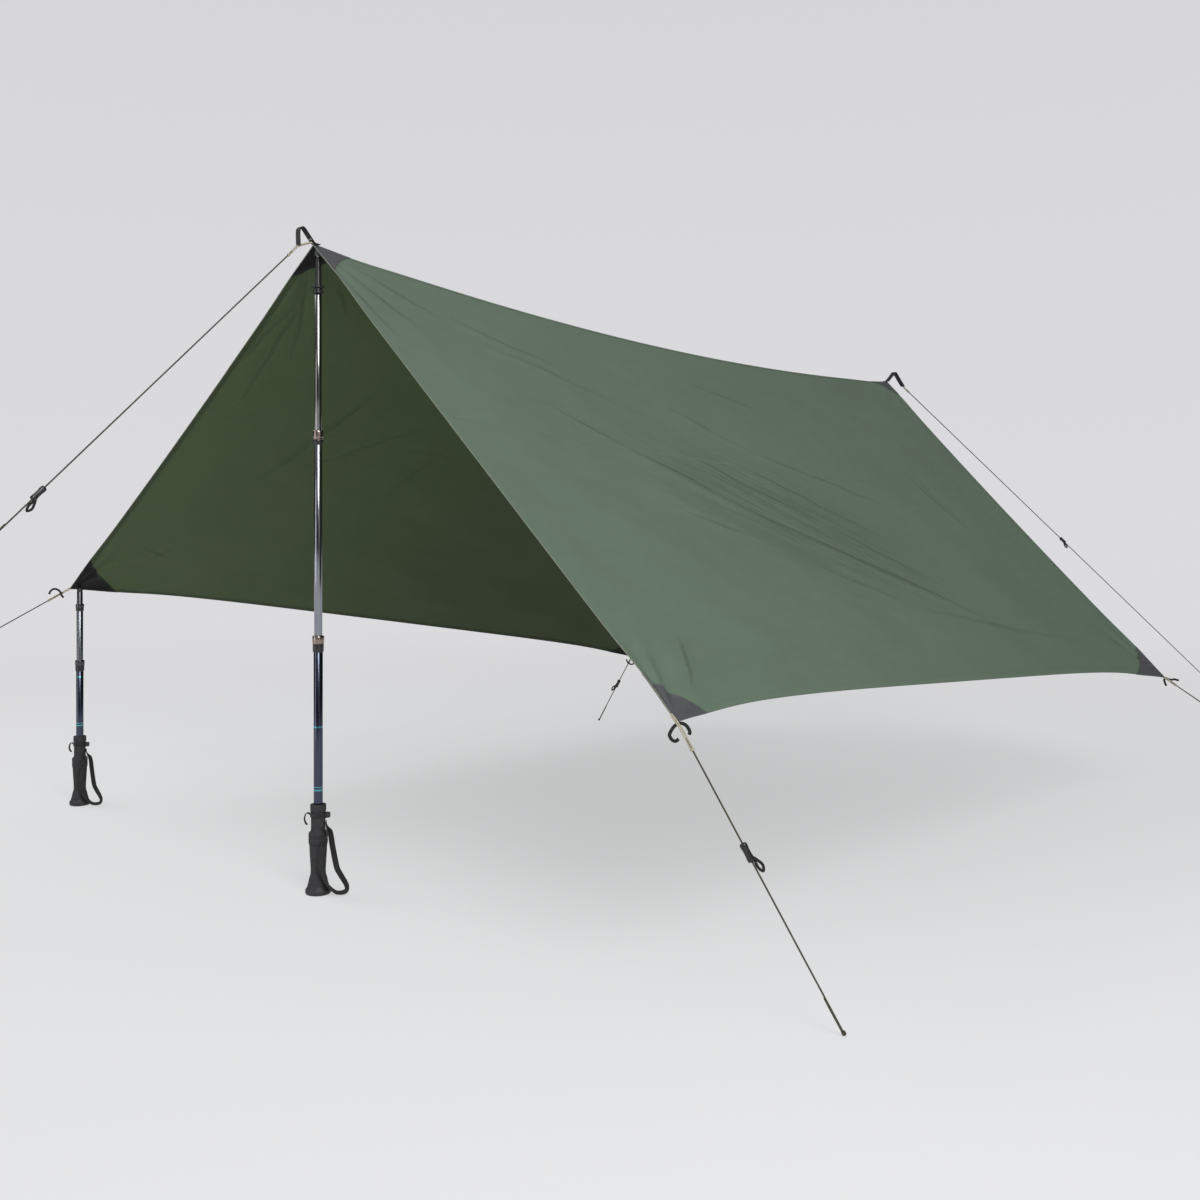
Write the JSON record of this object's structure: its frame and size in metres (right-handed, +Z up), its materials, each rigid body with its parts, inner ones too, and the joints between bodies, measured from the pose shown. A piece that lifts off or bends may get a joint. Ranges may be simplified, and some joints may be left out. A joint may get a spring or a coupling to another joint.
{
  "type": "camping tarp",
  "caption": "Ridge tarp pitched as an A-frame shelter on telescoping walking poles, with reinforced corners, webbing loops, cord hooks, guylines and sliding line locks.",
  "frame": {"origin": "middle of the tall pole's foot, on the ground", "axes": "+Z up, +Y along the ridge from the front peak to the rear peak, +X towards the right-hand eave"},
  "size_m": [2.4353, 4.6197, 1.3154],
  "materials": {
    "cloth": "silicone-coated ripstop, low sheen",
    "patch": "heavy coated cloth, matt",
    "webbing": "flat woven webbing",
    "hook_cord": "stiff braided cord",
    "guyline_cord": "thin braided cord",
    "grip_rubber": "moulded, matt",
    "lock_plastic": "moulded, satin",
    "lock_barrel": "dark bronze, satin",
    "lower_tube": "anodised, navy",
    "middle_tube": "anodised, dark grey",
    "upper_tube": "anodised, grey",
    "spike_steel": "turned"
  },
  "bodies": {
    "canopy": {"right_upper_panel": "cloth", "right_lower_panel": "cloth", "left_upper_panel": "cloth", "left_lower_panel": "cloth", "right_front_hem": "cloth", "right_rear_hem": "cloth", "right_eave_hem": "cloth", "left_front_hem": "cloth", "left_rear_hem": "cloth", "left_eave_hem": "cloth", "ridge_seam_tape": "cloth", "front_peak_patch": "patch", "rear_peak_patch": "patch", "front_right_patch": "patch", "front_left_patch": "patch", "rear_right_patch": "patch", "rear_left_patch": "patch", "front_peak_loop": "webbing", "rear_peak_loop": "webbing", "front_right_hook": "hook_cord", "front_left_hook": "hook_cord", "rear_right_hook": "hook_cord", "rear_left_hook": "hook_cord", "front_peak_guyline": "guyline_cord", "rear_peak_guyline": "guyline_cord", "front_right_guyline": "guyline_cord", "front_left_guyline": "guyline_cord", "rear_right_guyline": "guyline_cord", "rear_left_guyline": "guyline_cord", "peak_tip_pocket": "webbing", "tall_pole_upper_tube": "upper_tube", "tall_pole_ferrule": "lock_plastic", "tall_pole_spike": "spike_steel", "short_pole_upper_tube": "upper_tube", "short_pole_cap": "grip_rubber"},
    "tall_middle_section": {"tall_pole_middle_tube": "middle_tube", "tall_pole_upper_lock_sleeve": "lock_plastic"},
    "tall_upper_nut": {"tall_pole_upper_lock_nut": "lock_barrel"},
    "tall_lower_section": {"tall_pole_lower_tube": "lower_tube", "tall_pole_lower_lock_sleeve": "lock_plastic", "tall_pole_grip": "grip_rubber", "tall_pole_pommel": "grip_rubber", "tall_pole_strap_wedge": "lock_plastic"},
    "tall_lower_nut": {"tall_pole_lower_lock_nut": "lock_barrel"},
    "tall_strap": {"tall_pole_wrist_strap": "webbing"},
    "short_middle_section": {"short_pole_middle_tube": "middle_tube", "short_pole_upper_lock_sleeve": "lock_plastic"},
    "short_upper_nut": {"short_pole_upper_lock_nut": "lock_barrel"},
    "short_lower_section": {"short_pole_lower_tube": "lower_tube", "short_pole_lower_lock_sleeve": "lock_plastic", "short_pole_grip": "grip_rubber", "short_pole_pommel": "grip_rubber", "short_pole_strap_wedge": "lock_plastic"},
    "short_lower_nut": {"short_pole_lower_lock_nut": "lock_barrel"},
    "short_strap": {"short_pole_wrist_strap": "webbing"},
    "front_lock": {"front_peak_line_lock": "lock_plastic"},
    "rear_lock": {"rear_peak_line_lock": "lock_plastic"},
    "front_right_lock": {"front_right_line_lock": "lock_plastic"},
    "rear_left_lock": {"rear_left_line_lock": "lock_plastic"}
  },
  "joints": [
    {"name": "tall_middle_slide", "type": "slide", "parent": "canopy", "child": "tall_middle_section", "axis": [0, 0, 1], "range_m": [0, 0.26]},
    {"name": "tall_lower_slide", "type": "slide", "parent": "tall_middle_section", "child": "tall_lower_section", "axis": [0, 0, 1], "range_m": [0, 0.36]},
    {"name": "tall_upper_nut_turn", "type": "hinge", "parent": "tall_middle_section", "child": "tall_upper_nut", "pos_m": [0, 0, 0.908], "axis": [0, 0, 1], "range_deg": [0, 180]},
    {"name": "tall_lower_nut_turn", "type": "hinge", "parent": "tall_lower_section", "child": "tall_lower_nut", "pos_m": [0, 0, 0.502], "axis": [0, 0, 1], "range_deg": [0, 180]},
    {"name": "tall_strap_swing", "type": "hinge", "parent": "tall_lower_section", "child": "tall_strap", "pos_m": [0.01093, 0.01071, 0.142], "axis": [0.6997, -0.7145, 0], "range_deg": [0, 90]},
    {"name": "short_middle_slide", "type": "slide", "parent": "canopy", "child": "short_middle_section", "axis": [0, 0, 1], "range_m": [0, 0.03]},
    {"name": "short_lower_slide", "type": "slide", "parent": "short_middle_section", "child": "short_lower_section", "axis": [0, 0, 1], "range_m": [0, 0.12]},
    {"name": "short_upper_nut_turn", "type": "hinge", "parent": "short_middle_section", "child": "short_upper_nut", "pos_m": [-1.103, 0.006, 0.512], "axis": [0, 0, 1], "range_deg": [0, 180]},
    {"name": "short_lower_nut_turn", "type": "hinge", "parent": "short_lower_section", "child": "short_lower_nut", "pos_m": [-1.103, 0.006, 0.365], "axis": [0, 0, 1], "range_deg": [0, 180]},
    {"name": "short_strap_swing", "type": "hinge", "parent": "short_lower_section", "child": "short_strap", "pos_m": [-1.09207, 0.01671, 0.142], "axis": [0.6997, -0.7145, 0], "range_deg": [0, 90]},
    {"name": "front_lock_slide", "type": "slide", "parent": "canopy", "child": "front_lock", "axis": [0, -0.7175, -0.6965], "range_m": [-0.4, 0.1]},
    {"name": "rear_lock_slide", "type": "slide", "parent": "canopy", "child": "rear_lock", "axis": [0.1766, 0.829, -0.5306], "range_m": [-0.5, 0.5]},
    {"name": "front_right_lock_slide", "type": "slide", "parent": "canopy", "child": "front_right_lock", "axis": [0.3475, 0.3192, -0.8817], "range_m": [-0.12, 0.25]},
    {"name": "rear_left_lock_slide", "type": "slide", "parent": "canopy", "child": "rear_left_lock", "axis": [-0.4923, -0.1086, -0.8636], "range_m": [-0.06, 0.11]}
  ]
}
